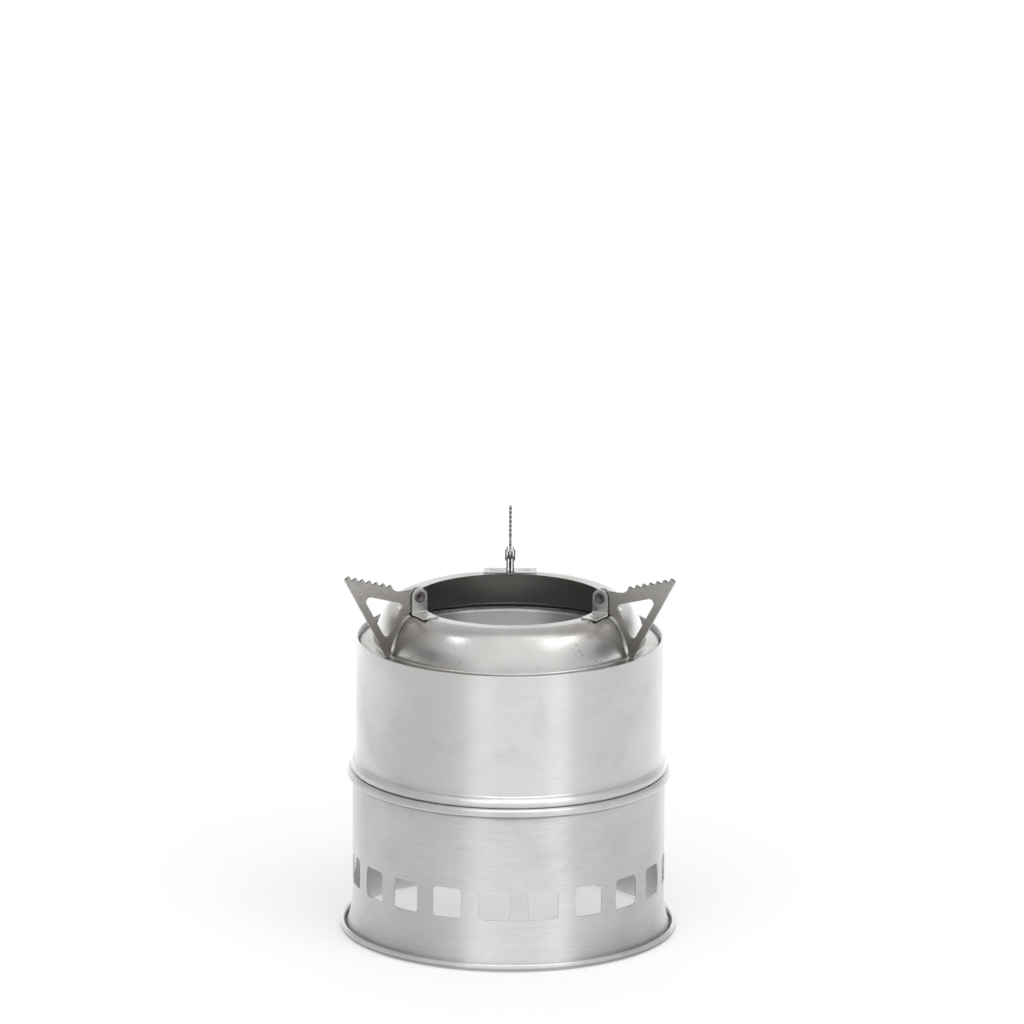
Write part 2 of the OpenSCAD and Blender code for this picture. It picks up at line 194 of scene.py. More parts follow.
# Heights that the frame gives
BASE_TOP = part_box("base_shell")[1].z / MM
CHAMBER_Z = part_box("outer_wall")[0].z / MM
CHAMBER_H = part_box("outer_wall")[1].z / MM - CHAMBER_Z
PAN_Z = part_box("pan")[0].z / MM
PAN_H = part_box("pan")[1].z / MM - PAN_Z
RING_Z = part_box("pot_ring")[0].z / MM
RING_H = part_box("pot_ring")[1].z / MM - RING_Z
RING_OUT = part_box("pot_ring")[1].x / MM
PAN_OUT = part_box("pan")[1].x / MM


def base_line():
    curl = Vector((BASE_MID + BASE_CURL_R, BASE_TOP - BASE_CURL_R - BASE_T / 2))
    foot = BASE_MID + FOOT_W
    lean = 2 * math.degrees(math.atan(FLARE_W / FLARE_H))
    flare_r = FLARE_H / math.sin(math.radians(lean))
    flare_top = FOOT_BEND * (1 - math.sin(math.radians(lean))) + BASE_T / 2 + FLARE_H
    gutter = (BASE_MID + FLARE_W + FOOT_BEND * math.cos(math.radians(lean)), FOOT_BEND + BASE_T / 2)
    return joined(
        [(foot - 2 * FOOT_TURN, FOOT_EDGE_Z)],
        arc((foot - FOOT_TURN, FOOT_H - FOOT_TURN - BASE_T / 2), FOOT_TURN, 180, 0),
        arc((foot - FOOT_BEND, FOOT_BEND + BASE_T / 2), FOOT_BEND, 0, -90),
        arc(gutter, FOOT_BEND, -90, lean - 180, 8),
        arc((BASE_MID + flare_r, flare_top), flare_r, 180 + lean, 180, 20),
        [(BASE_MID, VENT_Z - CELL_H / 2), (BASE_MID, VENT_Z + CELL_H / 2)],
        arc(curl, BASE_CURL_R, 180, 0, 20),
        arc(curl - Vector((0, BASE_CURL_DROP)), BASE_CURL_R, 0, tucked(BASE_CURL_R, BASE_T)),
    )


def wall_line():
    mid = CHAMBER_R - WALL_T / 2
    bead = Vector((mid + BEAD_OUT - BEAD_R, BEAD_Z))
    neck = NECK_R - WALL_T / 2

    def fillet(wall_x, side):
        """Centre of the fillet between a wall and the bead, and the bead's direction where they meet."""
        across = wall_x + BEAD_FILLET - bead.x
        along = side * math.sqrt((BEAD_R + BEAD_FILLET) ** 2 - across**2)
        return bead + Vector((across, along)), math.degrees(math.atan2(along, across))

    under, low = fillet(mid - GROOVE_D, -1)
    over, high = fillet(mid, 1)
    return joined(
        [(neck, 0), (neck, NECK_H - 0.3), (neck - 0.06, NECK_H), (mid - GROOVE_D, NECK_H + 0.8)],
        arc(under, BEAD_FILLET, 180, 180 + low, 10),
        arc(bead, BEAD_R, low, high, 24),
        arc(over, BEAD_FILLET, 180 + high, 180, 10),
        [(mid, CHAMBER_H)],
    )


def liner_line():
    wall_in = CHAMBER_R - WALL_T
    mid = wall_in - AIR_GAP - WALL_T / 2
    roll = Vector((wall_in - 0.03 - WALL_T / 2 - ROLL_R, CHAMBER_H - RECESS_H - WALL_T / 2 - ROLL_R))
    turn = 90 + SHOULDER_SLOPE
    end = roll + ROLL_R * heading(turn)
    throat_x = mid + THROAT_R
    start = throat_x + THROAT_R * heading(turn).x
    drop = (end.x - start) * math.tan(math.radians(SHOULDER_SLOPE))
    throat = (throat_x, end.y - drop - THROAT_R * heading(turn).y)
    row = CHAMBER_H - AIR_DEPTH
    lip = LIP_Z + WALL_T / 2
    return joined(
        [(roll.x + ROLL_R, roll.y - FLANGE_H)],
        arc(roll, ROLL_R, 0, turn),
        arc(throat, THROAT_R, turn, 180),
        [(mid, row + AIR_CELL_H / 2), (mid, row - AIR_CELL_H / 2)],
        arc((mid - LIP_R, lip + LIP_R), LIP_R, 0, -90, 8),
        [(mid - LIP_W, lip)],
    )


def pan_line():
    curl_x = PAN_OUT - PAN_CURL_R - PAN_T / 2
    mid = curl_x - PAN_CURL_R
    curl = (curl_x, PAN_H - PAN_T / 2 - PAN_CURL_R)
    return joined(
        [(0, PAN_T / 2), (mid / 2, PAN_T / 2)],
        arc((mid - PAN_CORNER, PAN_T / 2 + PAN_CORNER), PAN_CORNER, -90, 0),
        arc(curl, PAN_CURL_R, 180, 0, 20),
        arc(curl, PAN_CURL_R, 0, tucked(PAN_CURL_R, PAN_T)),
    )


def ring_line():
    hem = Vector((RING_OUT - RING_T / 2 - HEM_R, HEM_R + RING_T / 2))
    top = RING_H - RING_T / 2
    shelf = hem.y + HEM_R + HEM_STEP
    up = heading(90 - DOME_SLOPE)
    foot_up = heading(90 - DOME_FOOT_SLOPE)
    fillet = Vector((hem.x - 2 * HEM_STEP - FLANGE_W, shelf + DOME_FILLET))
    drop = top - DOME_R * (1 - up.y) - shelf - DOME_FILLET * (1 - foot_up.y)
    long_r = drop / (up.y - foot_up.y)
    dome_b = fillet - (DOME_FILLET + long_r) * foot_up
    dome_a = dome_b + (long_r - DOME_R) * up
    return joined(
        [(dome_a.x - FLAT_W, top)],
        arc(dome_a, DOME_R, 90, 90 - DOME_SLOPE, 24),
        arc(dome_b, long_r, 90 - DOME_SLOPE, 90 - DOME_FOOT_SLOPE, 12),
        arc(fillet, DOME_FILLET, 270 - DOME_FOOT_SLOPE, 270, 10),
        [(hem.x - 2 * HEM_STEP, shelf)],
        arc(hem, HEM_R, 90, -180, 30),
    )


# Meshes


def supported(outline, reach=0.4, shortest=3.0):
    """The outline with a point near each end of its long straights, which keeps the shading there true."""
    points = []
    for i, point in enumerate(outline):
        following = outline[(i + 1) % len(outline)]
        points.append(point)
        run = following - point
        if run.length > shortest and not is_cell_edge(point, following):
            points += [point + run.normalized() * reach, following - run.normalized() * reach]
    return points


CELL_EDGES = []


def is_cell_edge(a, b):
    ends = sorted((a.y, b.y))
    return any(abs(ends[0] - low) < 1e-4 and abs(ends[1] - high) < 1e-4 for low, high in CELL_EDGES)


def on_cylinder(angle, radius, z):
    return Vector((radius * math.cos(angle), radius * math.sin(angle), z)) * MM


def square_ring(half_w, half_h, steps_w, steps_h):
    """Points round a rectangle from its lower left corner."""
    corners = [(-half_w, -half_h), (half_w, -half_h), (half_w, half_h), (-half_w, half_h)]
    points = []
    for k, steps in enumerate((steps_w, steps_h, steps_w, steps_h)):
        a, b = Vector(corners[k]), Vector(corners[(k + 1) % 4])
        points += [a.lerp(b, i / steps) for i in range(steps)]
    return points


def rounded_ring(half, corner, steps_w, steps_h, bend=3):
    """As many points round a square with round corners, from the middle of its lower left corner."""
    inner = half - corner
    centres = [Vector(c) * inner for c in ((-1, -1), (1, -1), (1, 1), (-1, 1))]
    points = []
    for k, steps in enumerate((steps_w, steps_h, steps_w, steps_h)):
        middle = 225 + 90 * k
        a, b = centres[k], centres[(k + 1) % 4]
        side = corner * heading(middle + 45)
        points += [a + corner * heading(middle + 45 * i / bend) for i in range(bend)]
        points += [(a + side).lerp(b + side, i / (steps - 2 * bend)) for i in range(steps - 2 * bend)]
        points += [b + corner * heading(middle + 45 + 45 * i / bend) for i in range(bend)]
    return points


def add_cell(mesh, centre, cell, hole, radii, z):
    """One piece of a wall with a punched hole: both faces, the hole's sides and their broken edges."""
    (width, height, steps_w, steps_h), (half, corner) = cell, hole
    mid_r = sum(radii) / 2
    rim = 0.07
    frame_ring = square_ring(width / 2, height / 2, steps_w, steps_h)
    wide_ring = rounded_ring(half + rim, corner + rim, steps_w, steps_h)
    hole_ring = rounded_ring(half, corner, steps_w, steps_h)

    def row(ring, radius):
        return [mesh.verts.new(on_cylinder(centre + p.x / mid_r, radius, z + p.y)) for p in ring]

    def spread(share):
        return [a.lerp(b, share) for a, b in zip(wide_ring, frame_ring)]

    outer, inner = radii
    rows = [row(spread(share), outer) for share in (1, 0.5, 0.15, 0)]
    rows += [row(hole_ring, outer - rim), row(hole_ring, inner + rim)]
    rows += [row(spread(share), inner) for share in (0, 0.15, 0.5, 1)]
    count = len(frame_ring)
    for near, far in zip(rows, rows[1:]):
        for i in range(count):
            j = (i + 1) % count
            mesh.faces.new((near[i], near[j], far[j], far[i]))


def spun(name, line, thickness, base_z, columns=360, start=0.0, holes=None):
    """A sheet spun round the stove's axis. holes is (count, size, corner, height, cell height)."""
    CELL_EDGES.clear()
    if holes:
        count, size, corner, row_z, cell_h = holes
        CELL_EDGES.append((row_z - cell_h / 2, row_z + cell_h / 2))
    outline = supported(sheet_outline(line, thickness))
    mesh = bmesh.new()
    angles = [math.radians(start) + 2 * math.pi * i / columns for i in range(columns)]
    grid = [[mesh.verts.new(on_cylinder(a, p.x, p.y + base_z)) for a in angles] for p in outline]
    radii = []
    for i, point in enumerate(outline):
        k = (i + 1) % len(outline)
        if is_cell_edge(point, outline[k]):
            radii.append(point.x)
            continue
        if point.x < 1e-6 and outline[k].x < 1e-6:
            continue
        for j in range(columns):
            n = (j + 1) % columns
            mesh.faces.new((grid[i][j], grid[i][n], grid[k][n], grid[k][j]))
    if holes:
        step = 2 * math.pi / count
        cell = (step * sum(radii) / 2, cell_h, columns // count, 12)
        for i in range(count):
            centre = math.radians(start) + (i + 0.5) * step
            add_cell(mesh, centre, cell, (size / 2, corner), sorted(radii, reverse=True), row_z + base_z)
    bmesh.ops.remove_doubles(mesh, verts=mesh.verts, dist=1e-6)
    bmesh.ops.recalc_face_normals(mesh, faces=mesh.faces)
    return as_object(name, mesh)


def as_object(name, mesh, sharp=30):
    data = bpy.data.meshes.new(name)
    mesh.to_mesh(data)
    mesh.free()
    data.shade_smooth()
    data.set_sharp_from_angle(angle=math.radians(sharp))
    piece = bpy.data.objects.new(name, data)
    bpy.context.scene.collection.objects.link(piece)
    return piece


def finished(node, name, edge):
    """A flat or turned piece from its node's own shape, with its edges broken."""
    mesh = bmesh.new()
    mesh.from_mesh(frame["nodes"][node].data)
    bmesh.ops.remove_doubles(mesh, verts=mesh.verts, dist=1e-6)
    bmesh.ops.dissolve_limit(mesh, angle_limit=math.radians(1), verts=mesh.verts, edges=mesh.edges)
    bmesh.ops.recalc_face_normals(mesh, faces=mesh.faces)
    piece = as_object(name, mesh)
    bevel = piece.modifiers.new("edges", "BEVEL")
    bevel.width = edge * MM
    bevel.segments = 2
    bevel.limit_method = "ANGLE"
    bevel.angle_limit = math.radians(40)
    bevel.harden_normals = True
    return piece


def dress(piece, node, body, material):
    piece.data.materials.clear()
    piece.data.materials.append(material)
    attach(piece, body)
    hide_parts(node)


# Materials


class Tree:
    """Node tree with short ways to add nodes."""

    def __init__(self, tree):
        self.tree = tree

    def node(self, kind, **settings):
        made = self.tree.nodes.new("ShaderNode" + kind)
        for key, value in settings.items():
            setattr(made, key, value)
        return made

    def link(self, source, socket):
        self.tree.links.new(source, socket)

    def feed(self, socket, value):
        if isinstance(value, (int, float)):
            socket.default_value = value
        else:
            self.link(value, socket)

    def math(self, operation, a, b=0.0):
        made = self.node("Math", operation=operation)
        self.feed(made.inputs[0], a)
        self.feed(made.inputs[1], b)
        return made.outputs[0]

    def span(self, value, low, high, to_low=0.0, to_high=1.0, kind="LINEAR"):
        made = self.node("MapRange", interpolation_type=kind)
        self.feed(made.inputs["Value"], value)
        for key, number in (("From Min", low), ("From Max", high), ("To Min", to_low), ("To Max", to_high)):
            made.inputs[key].default_value = number
        return made.outputs[0]

    def azimuth(self, place):
        """Turn of a place round the axis from the camera's side, as 0 to 1, and its height."""
        split = self.node("SeparateXYZ")
        self.link(place, split.inputs[0])
        turn = self.math("ARCTAN2", split.outputs[0], self.math("MULTIPLY", split.outputs[1], -1.0))
        return self.span(turn, -math.pi, math.pi), split.outputs[2]

    def levels(self, azimuth, stops):
        """Level at an azimuth, eased between the stops. Levels may be up to 4."""
        ramp = self.node("ValToRGB")
        ramp.color_ramp.interpolation = "EASE"
        points = ramp.color_ramp.elements
        while len(points) < len(stops):
            points.new(0.5)
        for point, (angle, level) in zip(points, stops):
            point.position = angle / 360 + 0.5
            point.color = (level / 4, level / 4, level / 4, 1)
        self.feed(ramp.inputs[0], azimuth)
        return self.math("MULTIPLY", ramp.outputs[0], 4.0)


class Steel(Tree):
    """A metal shader with patterns in the object's own coordinates."""

    def __init__(self, name, colour, roughness, anisotropy=0.0):
        self.material = bpy.data.materials.new(name)
        self.material.use_nodes = True
        super().__init__(self.material.node_tree)
        self.shader = self.tree.nodes["Principled BSDF"]
        self.shader.inputs["Metallic"].default_value = 1.0
        self.shader.inputs["Roughness"].default_value = roughness
        self.shader.inputs["Base Color"].default_value = (*colour, 1)
        self.shader.inputs["Anisotropic"].default_value = anisotropy
        self.place = self.node("TexCoord").outputs["Object"]
        self.colour = None
        self.first_colour = colour
        if anisotropy:
            self.shader.inputs["Anisotropic Rotation"].default_value = 0.25
            around = self.node("Tangent", direction_type="RADIAL", axis="Z")
            self.link(around.outputs[0], self.shader.inputs["Tangent"])

    def noise(self, scale, detail=2.0, turn=(0, 0, 0), warp=0.0):
        """Noise with its own number of grains per metre along each axis."""
        mapping = self.node("Mapping")
        mapping.inputs["Scale"].default_value = scale
        mapping.inputs["Rotation"].default_value = [math.radians(a) for a in turn]
        self.link(self.place, mapping.inputs["Vector"])
        noise = self.node("TexNoise")
        noise.inputs["Scale"].default_value = 1.0
        noise.inputs["Detail"].default_value = detail
        noise.inputs["Distortion"].default_value = warp
        self.link(mapping.outputs[0], noise.inputs["Vector"])
        return noise.outputs["Fac"]

    def away(self):
        """The place's way from the axis."""
        flat = self.node("VectorMath", operation="MULTIPLY")
        self.link(self.place, flat.inputs[0])
        flat.inputs[1].default_value = (1, 1, 0)
        return flat.outputs[0]

    def normal(self):
        turned = self.node("VectorTransform", vector_type="NORMAL", convert_from="WORLD", convert_to="OBJECT")
        self.link(self.node("NewGeometry").outputs["Normal"], turned.inputs[0])
        return turned.outputs[0]

    def facing_up(self):
        split = self.node("SeparateXYZ")
        self.link(self.normal(), split.inputs[0])
        return split.outputs[2]

    def bent(self):
        """1 where the sheet is bent away from upright, as on rims and beads."""
        return self.span(self.math("ABSOLUTE", self.facing_up()), 0.2, 0.5)

    def within(self, value, low, high, soft=0.25):
        """1 between two sizes in millimetres, with soft ends."""
        above = self.span(value, (low - soft) * MM, (low + soft) * MM)
        below = self.span(value, (high - soft) * MM, (high + soft) * MM, 1.0, 0.0)
        return self.math("MULTIPLY", above, below)

    def lines(self, marks):
        """Painted shade: dark lines round the axis where shade falls in grooves, under rims and along bottom
        edges, each (least radius, bottom, top, share) in millimetres.
        """
        split = self.node("SeparateXYZ")
        self.link(self.place, split.inputs[0])
        length = self.node("VectorMath", operation="LENGTH")
        self.link(self.away(), length.inputs[0])
        for least, bottom, top, share in marks:
            band = self.within(split.outputs[2], bottom, top)
            outer = self.span(length.outputs["Value"], (least - 0.1) * MM, (least + 0.1) * MM)
            share = self.math("MULTIPLY", self.math("SUBTRACT", 1.0, self.inside()), share)
            self.tint(self.math("MULTIPLY", self.math("MULTIPLY", band, outer), share), (0.12, 0.118, 0.115))

    def inside(self):
        """1 on faces that look at the axis."""
        outward = self.node("VectorMath", operation="NORMALIZE")
        self.link(self.away(), outward.inputs[0])
        facing = self.node("VectorMath", operation="DOT_PRODUCT")
        self.link(self.normal(), facing.inputs[0])
        self.link(outward.outputs[0], facing.inputs[1])
        return self.span(facing.outputs["Value"], -0.05, -0.3)

    def tint(self, share, colour):
        """Lays a colour over what is there, as much as share says."""
        mix = self.node("Mix", data_type="RGBA")
        self.feed(mix.inputs["Factor"], share)
        if self.colour is None:
            mix.inputs[6].default_value = (*self.first_colour, 1)
        else:
            self.link(self.colour, mix.inputs[6])
        mix.inputs[7].default_value = (*colour, 1)
        self.colour = mix.outputs[2]
        self.link(self.colour, self.shader.inputs["Base Color"])

    def roughen(self, value):
        self.link(value, self.shader.inputs["Roughness"])

    def bump(self, height, depth):
        """Relief of a height pattern, depth in millimetres."""
        bump = self.node("Bump")
        bump.inputs["Distance"].default_value = depth * MM
        self.link(height, bump.inputs["Height"])
        self.link(bump.outputs[0], self.shader.inputs["Normal"])


def scratches(steel, turn):
    """Short thin scratches across one direction, in patches."""
    lines = steel.span(steel.noise((60, 60, 2600), 1.0, turn), 0.72, 0.75)
    patches = steel.span(steel.noise((45, 45, 45), 1.0, turn), 0.52, 0.64)
    return steel.math("MULTIPLY", lines, patches)


BRUSHED_ROUGHNESS = 0.46
BENT_ROUGHNESS = 0.32
BRUSHED_ONE_WAY = 0.96


def spun_steel(name, colour, grain=1.0, bright=1.0, seam=None, dark_below=None, lines=()):
    """Sheet brushed round the axis: fine streaks, clouds, smudges and a few scratches.

    bright is how much brighter the inside is painted as painted light (below 1 it is painted darker as
    painted shade), seam the azimuth of an upright weld, and dark_below the height in millimetres under which
    the inside is painted near black, as painted shade in the gap between the walls."""
    steel = Steel(name, colour, BRUSHED_ROUGHNESS, BRUSHED_ONE_WAY)
    inside = steel.inside()
    # Painted light: the inside is painted brighter than the outside by the factor bright, and painted darker
    # as painted shade where it is below 1
    steel.tint(inside, tuple(bright * c for c in colour))
    broad = steel.noise((110, 110, 1300), 2.0)
    fine = steel.noise((300, 300, 3400), 2.0)
    cloud = steel.noise((14, 14, 24), 3.0, (0, 0, 0), 0.6)
    streaks = steel.math("ADD", steel.math("MULTIPLY", broad, 0.45), steel.math("MULTIPLY", fine, 0.55))
    bent = steel.bent()
    flat = steel.math("SUBTRACT", 1.0, bent)
    dark = steel.span(streaks, 0.36, 0.56, 0.2 * grain, 0)
    steel.tint(steel.math("MULTIPLY", dark, flat), tuple(0.5 * c for c in colour))
    steel.tint(steel.span(streaks, 0.5, 0.66, 0, 0.2 * grain), tuple(min(1.25 * c, 0.95) for c in colour))
    steel.tint(steel.span(cloud, 0.5, 0.8, 0, 0.2), tuple(0.75 * c for c in colour))
    smudge = steel.noise((75, 75, 75), 5.0, (30, 0, 0), 0.3)
    steel.tint(steel.span(smudge, 0.5, 0.68, 0, 0.22), tuple(0.72 * c for c in colour))
    marks = steel.math("MAXIMUM", scratches(steel, (35, 0, 20)), scratches(steel, (-50, 15, 0)))
    steel.tint(steel.math("MULTIPLY", marks, 0.3), (0.3, 0.295, 0.29))
    rough = steel.span(streaks, 0.35, 0.65, BRUSHED_ROUGHNESS - 0.03, BRUSHED_ROUGHNESS + 0.04)
    rough = steel.math("ADD", rough, steel.span(cloud, 0.3, 0.7, -0.03, 0.04))
    rough = steel.math("ADD", rough, steel.math("MULTIPLY", inside, 0.06))
    rough = steel.math("SUBTRACT", rough, steel.math("MULTIPLY", bent, BRUSHED_ROUGHNESS - BENT_ROUGHNESS))
    still = steel.span(steel.math("ABSOLUTE", steel.facing_up()), 0.03, 0.16, 1.0, 0.05)
    height = steel.math("MULTIPLY", steel.math("SUBTRACT", streaks, marks), still)
    turn, level = steel.azimuth(steel.place)
    if seam is not None:
        wander = steel.math("MULTIPLY", steel.math("SUBTRACT", steel.noise((300, 300, 900), 2.0), 0.5), 0.004)
        off = steel.math("ADD", steel.math("SUBTRACT", turn, seam / 360 + 0.5), wander)
        off = steel.math("ABSOLUTE", off)
        weld = steel.span(off, 0.0011, 0.0022, 1.0, 0.0, "SMOOTHSTEP")
        haze = steel.span(off, 0.002, 0.012, 1.0, 0.0, "SMOOTHSTEP")
        steel.tint(steel.math("MULTIPLY", weld, 0.4), (0.36, 0.345, 0.32))
        steel.tint(steel.math("MULTIPLY", haze, 0.2), (0.5, 0.475, 0.43))
        height = steel.math("ADD", height, steel.math("MULTIPLY", weld, 6.0))
    # Painted shade: the inside under dark_below is painted near black
    if dark_below is not None:
        low = steel.span(level, dark_below * MM, (dark_below + 1) * MM, 1.0, 0.0)
        steel.tint(steel.math("MULTIPLY", steel.math("MULTIPLY", low, inside), 0.94), (0.05, 0.048, 0.045))
    # Painted shade: dark lines round the outside under rims, in grooves and along bottom edges
    steel.lines(lines)
    steel.roughen(rough)
    steel.bump(height, 0.008 * grain)
    return steel.material


def polished_steel(name, colour, roughness):
    """Dome of the pot ring: soft mirror with stains, a few dark specks and a dull inside, painted dark as
    painted shade.
    """
    steel = Steel(name, colour, roughness)
    cloud = steel.noise((32, 32, 32), 4.0, (0, 0, 0), 0.8)
    wide = steel.noise((14, 14, 14), 2.0, (40, 10, 0), 0.4)
    pores = steel.noise((700, 700, 700), 2.0)
    patch = steel.noise((60, 60, 60), 2.0, (20, 30, 0))
    specks = steel.math("MULTIPLY", steel.span(pores, 0.62, 0.7), steel.span(patch, 0.5, 0.64))
    smear = steel.noise((40, 40, 90), 2.0, (0, 0, 0), 0.4)
    steel.tint(steel.span(cloud, 0.46, 0.75, 0, 0.5), (0.44, 0.42, 0.395))
    steel.tint(steel.span(smear, 0.54, 0.74, 0, 0.45), (0.36, 0.32, 0.27))
    steel.tint(steel.math("MULTIPLY", specks, 0.5), (0.12, 0.105, 0.09))
    inside = steel.inside()
    # Painted shade: the inside of the dome is painted dark
    steel.tint(steel.math("MULTIPLY", inside, 0.8), (0.17, 0.162, 0.152))
    rough = steel.span(cloud, 0.3, 0.75, roughness - 0.04, roughness + 0.1)
    rough = steel.math("ADD", rough, steel.span(wide, 0.35, 0.65, -0.03, 0.06))
    steel.roughen(steel.math("ADD", rough, steel.math("MULTIPLY", inside, 0.2)))
    steel.bump(steel.math("ADD", steel.math("MULTIPLY", wide, 6.0), steel.math("ADD", cloud, pores)), 0.03)
    return steel.material


def cut_steel(name, colour, roughness, relief=0.01, darkened=None, welded=False, teeth=None):
    """Cut plate: matt grain. heated is (bottom, top) of a darkening towards the bottom, in millimetres.

    welded adds dull spots to the faces that look up. teeth is the place of the first tooth's point as
    (radius, height) in millimetres and the slope of their row, between whose points the edge is painted near
    black, as painted shade in the notches."""
    steel = Steel(name, colour, roughness)
    grain = steel.noise((900, 900, 900), 3.0)
    cloud = steel.noise((70, 70, 70), 3.0, (0, 0, 0), 0.5)
    steel.tint(steel.span(cloud, 0.4, 0.72, 0, 0.3), tuple(0.7 * c for c in colour))
    steel.tint(steel.span(grain, 0.4, 0.7, 0, 0.25), tuple(0.62 * c for c in colour))
    split = steel.node("SeparateXYZ")
    steel.link(steel.place, split.inputs[0])
    if darkened:
        bottom, top = (z * MM for z in darkened)
        steel.tint(steel.span(split.outputs[2], bottom, top, 0.75, 0), (0.13, 0.12, 0.11))
    if welded:
        spots = steel.span(steel.noise((120, 120, 120), 1.0), 0.45, 0.75)
        upper = steel.span(steel.facing_up(), 0.5, 0.8)
        steel.tint(steel.math("MULTIPLY", steel.math("MULTIPLY", spots, upper), 0.5), (0.2, 0.18, 0.16))
    if teeth:
        place, slope = teeth
        a = math.radians(slope)
        length = steel.node("VectorMath", operation="LENGTH")
        steel.link(steel.away(), length.inputs[0])
        along = steel.math("SUBTRACT", length.outputs["Value"], place[0] * MM)
        along = steel.math("MULTIPLY", along, math.sin(a))
        up = steel.math("SUBTRACT", split.outputs[2], place[1] * MM)
        up = steel.math("MULTIPLY", up, math.cos(a))
        # Painted shade: the notches between the teeth are painted near black where they face up
        notch_shade = steel.within(steel.math("SUBTRACT", along, up), 0.5, 1.6)
        upper = steel.span(steel.facing_up(), 0.1, 0.3)
        steel.tint(steel.math("MULTIPLY", steel.math("MULTIPLY", notch_shade, upper), 0.9), (0.05, 0.048, 0.045))
    steel.roughen(steel.span(grain, 0.3, 0.7, roughness - 0.06, roughness + 0.1))
    steel.bump(grain, relief)
    return steel.material


# Pieces of the stove

SHELL = (0.69, 0.686, 0.678)
BASE_SHADE = 0.92
SEAM_AZIMUTH = -168.0
# Painted shade: depth under the liner's top below which the outer wall's inside is painted near black
GAP_SHADE_DEPTH = 4.0
COLUMNS = 360
LINER_COLUMNS = 14 * AIR_COUNT
DARKENING_END = 6.0
FIRST_TOOTH = (53.7, 145.67)
TOOTH_SLOPE = 17.3
# Painted shade lines on the shells lie outside this radius
SHADE_LINES_FROM = 50


def make_shells():
    # Painted shade: dark lines where shade falls under the rims, in the groove and along the bottom edges
    under_curl = BASE_TOP - BASE_CURL_DROP - 2 * BASE_CURL_R - BASE_T
    base_shade_lines = (
        (SHADE_LINES_FROM, under_curl - 0.8, under_curl + 0.4, 0.45),
        (BASE_MID + FLARE_W - 0.5, 0.2, 1.5, 0.5),
    )
    groove = CHAMBER_Z + NECK_H
    wall_shade_lines = (
        (SHADE_LINES_FROM, CHAMBER_Z - 1, CHAMBER_Z + 0.35, 0.6),
        (SHADE_LINES_FROM, groove, groove + 1, 0.35),
    )
    under_rim = PAN_Z + PAN_H - 2 * PAN_CURL_R - PAN_T
    pan_shade_lines = (
        (SHADE_LINES_FROM, PAN_Z - 1, PAN_Z + 0.4, 0.5),
        (SHADE_LINES_FROM, under_rim - 0.9, under_rim + 0.3, 0.45),
    )
    # The fourth numbers paint each shell's inside brighter as painted light; the pan's inside is painted
    # darker as painted shade
    shell = spun_steel("shell_steel", tuple(BASE_SHADE * c for c in SHELL), 1.0, 1.48, lines=base_shade_lines)
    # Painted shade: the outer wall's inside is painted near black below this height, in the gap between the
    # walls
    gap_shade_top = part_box("inner_wall")[1].z / MM - GAP_SHADE_DEPTH
    outer = spun_steel("wall_steel", SHELL, 0.6, 1.35, SEAM_AZIMUTH, gap_shade_top, wall_shade_lines)
    inner = spun_steel("inner_steel", (0.7, 0.695, 0.685), 0.8, 1.35)
    pan = spun_steel("pan_steel", (0.7, 0.697, 0.69), 0.7, 0.9, lines=pan_shade_lines)
    dome = polished_steel("dome_steel", (0.52, 0.514, 0.503), 0.22)
    vents = (VENT_COUNT, VENT_SIZE, VENT_CORNER, VENT_Z, CELL_H)
    start = VENT_TURN - 90 - 180 / VENT_COUNT
    base = spun("base_ring", base_line(), BASE_T, 0, COLUMNS, start, vents)
    dress(base, "base_shell", "base", shell)
    wall = spun("chamber_outer_wall", wall_line(), WALL_T, CHAMBER_Z)
    dress(wall, "outer_wall", "chamber", outer)
    holes = (AIR_COUNT, AIR_SIZE, AIR_CORNER, CHAMBER_H - AIR_DEPTH, AIR_CELL_H)
    start = 90 - 180 / AIR_COUNT
    liner = spun("chamber_inner_wall", liner_line(), WALL_T, CHAMBER_Z, LINER_COLUMNS, start, holes)
    dress(liner, "inner_wall", "chamber", inner)
    dress(spun("fire_pan_shell", pan_line(), PAN_T, PAN_Z), "pan", "fire_pan", pan)
    dress(spun("pot_ring_shell", ring_line(), RING_T, RING_Z), "pot_ring", "ring", dome)


def make_fittings():
    grate = cut_steel("grate_steel", (0.45, 0.44, 0.43), 0.38)
    bracket = cut_steel("bracket_steel", (0.62, 0.612, 0.6), 0.27, 0.0015, welded=True)
    rivet = cut_steel("rivet_steel", (0.16, 0.15, 0.145), 0.4)
    low, high = (corner.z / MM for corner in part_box("arm_rear"))
    teeth = (FIRST_TOOTH, TOOTH_SLOPE)
    arm = cut_steel("arm_steel", (0.46, 0.445, 0.43), 0.42, 0.006, (low, high - DARKENING_END), teeth=teeth)
    bodies = frame["record"]["behaviour"]["bodies"]
    looks = {
        "fire_grate": (grate, "grate_steel", 0.1),
        "bracket": (bracket, "bracket_steel", 0.1),
        "rivet": (rivet, "rivet_steel", 0.08),
        "arm": (arm, "arm_steel", 0.12),
    }
    for body, nodes in bodies.items():
        for node in nodes:
            kind = node if node == "fire_grate" else node.split("_")[0]
            if kind in looks:
                material, slot, edge = looks[kind]
                dress(finished(node, node + "_piece", edge), node, body, material)


# Floor, world and lamps

FLOOR_SIZE = 8000.0
FLOOR_COLOUR = 0.86
FLOOR_LIFT = 0.24
# Painted light: the floor inside the base ring glows more, over the shade that falls there, so that it shows
# white through the vents
UNDER_GLOW = 0.5
UNDER_RADIUS = 60.0
UNDER_EDGE = 5.0
MIRROR_LIFT = 0.5
# Radii in metres between which the floor turns from lit paper to an even glow
FLOOR_NEAR = 0.07
FLOOR_FAR = 0.45

